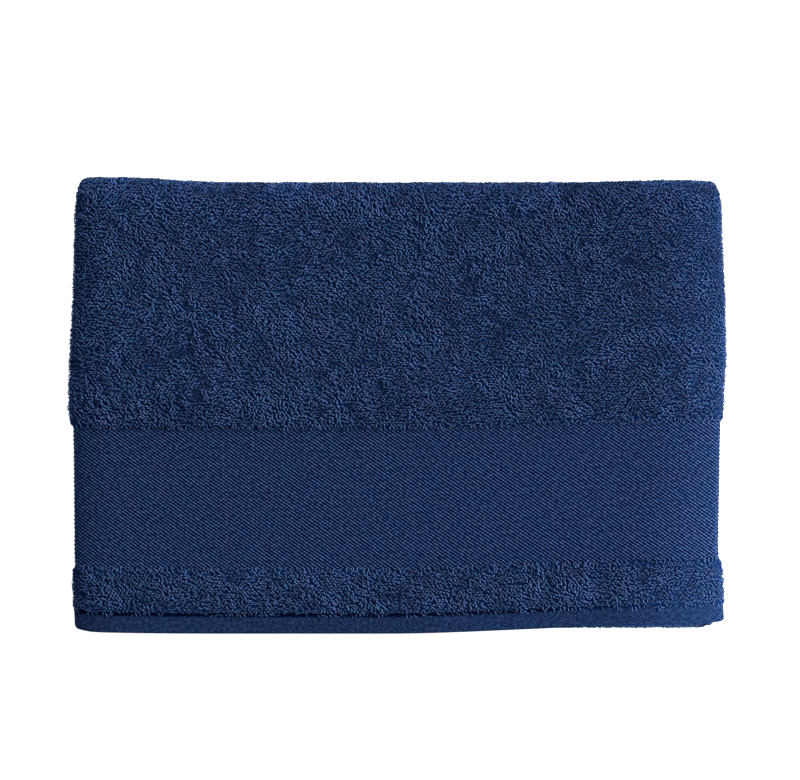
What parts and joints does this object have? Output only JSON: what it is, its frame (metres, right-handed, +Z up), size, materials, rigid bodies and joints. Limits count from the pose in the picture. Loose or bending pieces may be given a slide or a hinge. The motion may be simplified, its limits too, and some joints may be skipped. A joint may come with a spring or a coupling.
{
  "type": "folded hand towel",
  "caption": "Terry hand towel folded to a flat oblong pack, its woven border, pile strip and turned hem across the front.",
  "frame": {"origin": "middle of the underside of the folded pack", "axes": "+X across the towel to the right as its front is looked at, +Y from the hems to the top fold, +Z up, out of the front face"},
  "size_m": [0.2546, 0.177, 0.0415],
  "materials": {
    "terry": "dark navy cotton terry loops, with a flat twill-woven border and a fine woven hem in the same yarn"
  },
  "bodies": {
    "root": {"hand_towel": "terry"}
  },
  "joints": []
}
